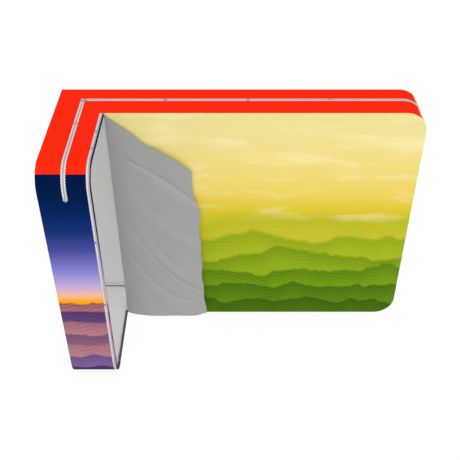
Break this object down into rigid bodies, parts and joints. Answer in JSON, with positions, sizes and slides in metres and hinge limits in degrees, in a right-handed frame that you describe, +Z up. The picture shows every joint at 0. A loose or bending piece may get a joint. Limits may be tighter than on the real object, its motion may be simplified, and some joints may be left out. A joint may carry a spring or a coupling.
{
  "type": "display wall",
  "caption": "L-shaped fabric display wall: zip-on printed cover over a plug-together tube frame, with a zipped fabric door into the leg's storage space.",
  "frame": {"origin": "centre of the footprint's bounding box, on the floor", "axes": "+X along the long wall to its free end, -Y toward the front of the leg, +Z up"},
  "size_m": [3.051, 1.2442, 2.2942],
  "materials": {
    "frame_tube": "light grey powder coat",
    "hub_moulding": "moulded nylon",
    "button_steel": "plated spring steel",
    "field_print": "printed stretch knit",
    "dusk_print": "printed stretch knit",
    "red_band": "dyed stretch knit",
    "plain_cloth": "plain stretch knit",
    "door_cloth": "stretch knit, plain reverse",
    "zip_tape": "woven tape with moulded teeth",
    "zip_metal": "enamelled die casting",
    "loop_tape": "hook-and-loop tape"
  },
  "bodies": {
    "wall": {"back_top_rail_left": "frame_tube", "back_top_rail_right": "frame_tube", "front_top_rail_left": "frame_tube", "front_top_rail_right": "frame_tube", "left_top_rail": "frame_tube", "inner_top_rail": "frame_tube", "back_bottom_rail_left": "frame_tube", "back_bottom_rail_right": "frame_tube", "front_bottom_rail_left": "frame_tube", "front_bottom_rail_right": "frame_tube", "left_bottom_rail": "frame_tube", "inner_bottom_rail": "frame_tube", "back_upper_bow": "frame_tube", "back_lower_bow": "frame_tube", "front_upper_bow": "frame_tube", "front_lower_bow": "frame_tube", "left_upper_bow": "frame_tube", "left_lower_bow": "frame_tube", "inner_upper_bow": "frame_tube", "inner_lower_bow": "frame_tube", "back_post_lower": "frame_tube", "back_post_upper": "frame_tube", "inner_post_lower": "frame_tube", "inner_post_upper": "frame_tube", "mid_post_back": "frame_tube", "mid_post_front": "frame_tube", "end_spreaders": "frame_tube", "mid_spreaders": "frame_tube", "leg_spreaders": "frame_tube", "corner_ties": "frame_tube", "tee_stubs": "frame_tube", "back_hub_top": "hub_moulding", "back_hub_bottom": "hub_moulding", "inner_hub_top": "hub_moulding", "inner_hub_bottom": "hub_moulding", "front_panel": "field_print", "back_panel": "field_print", "right_end_panel": "field_print", "leg_end_panel": "dusk_print", "leg_side_panel": "dusk_print", "door_placket": "dusk_print", "top_band_outer": "red_band", "top_band_inner": "red_band", "floor_panel": "plain_cloth", "top_zip_outer": "zip_tape", "top_zip_inner": "zip_tape", "door_zip_fixed": "zip_tape", "zip_stops": "zip_metal", "sill_tape": "loop_tape", "back_rail_tape": "loop_tape"},
    "door": {"door_panel": "door_cloth", "door_zip_free": "zip_tape"},
    "top_slider": {"top_zip_slider": "zip_metal"},
    "top_pull": {"top_zip_pull": "zip_metal"},
    "door_slider": {"door_zip_slider": "zip_metal"},
    "door_pull": {"door_zip_pull": "zip_metal"},
    "buttons_back": {"snap_buttons_back": "button_steel"},
    "buttons_front": {"snap_buttons_front": "button_steel"},
    "buttons_left": {"snap_buttons_left": "button_steel"},
    "buttons_inner": {"snap_buttons_inner": "button_steel"}
  },
  "joints": [
    {"name": "door_swing", "type": "hinge", "parent": "wall", "child": "door", "pos_m": [-1.1173, 0.2229, 0], "axis": [0, 0, -1], "range_deg": [0, 85]},
    {"name": "top_zip_run", "type": "slide", "parent": "wall", "child": "top_slider", "axis": [1, 0, 0], "range_m": [-1.86, 0.57]},
    {"name": "top_pull_swing", "type": "hinge", "parent": "top_slider", "child": "top_pull", "pos_m": [0.7465, 0.4411, 2.2915], "axis": [0, 1, 0], "range_deg": [0, 170]},
    {"name": "door_zip_run", "type": "slide", "parent": "wall", "child": "door_slider", "axis": [0, 0, 1], "range_m": [0, 1.836]},
    {"name": "door_pull_swing", "type": "hinge", "parent": "door_slider", "child": "door_pull", "pos_m": [-1.1278, -0.6194, 0.245], "axis": [-1, 0, 0], "range_deg": [0, 150]},
    {"name": "press_back", "type": "slide", "parent": "wall", "child": "buttons_back", "axis": [0, 1, 0], "range_m": [0, 0.004], "stiffness_N_per_m": 2000},
    {"name": "press_front", "type": "slide", "parent": "wall", "child": "buttons_front", "axis": [0, -1, 0], "range_m": [0, 0.004], "stiffness_N_per_m": 2000},
    {"name": "press_left", "type": "slide", "parent": "wall", "child": "buttons_left", "axis": [-1, 0, 0], "range_m": [0, 0.004], "stiffness_N_per_m": 2000},
    {"name": "press_inner", "type": "slide", "parent": "wall", "child": "buttons_inner", "axis": [1, 0, 0], "range_m": [0, 0.004], "stiffness_N_per_m": 2000}
  ]
}
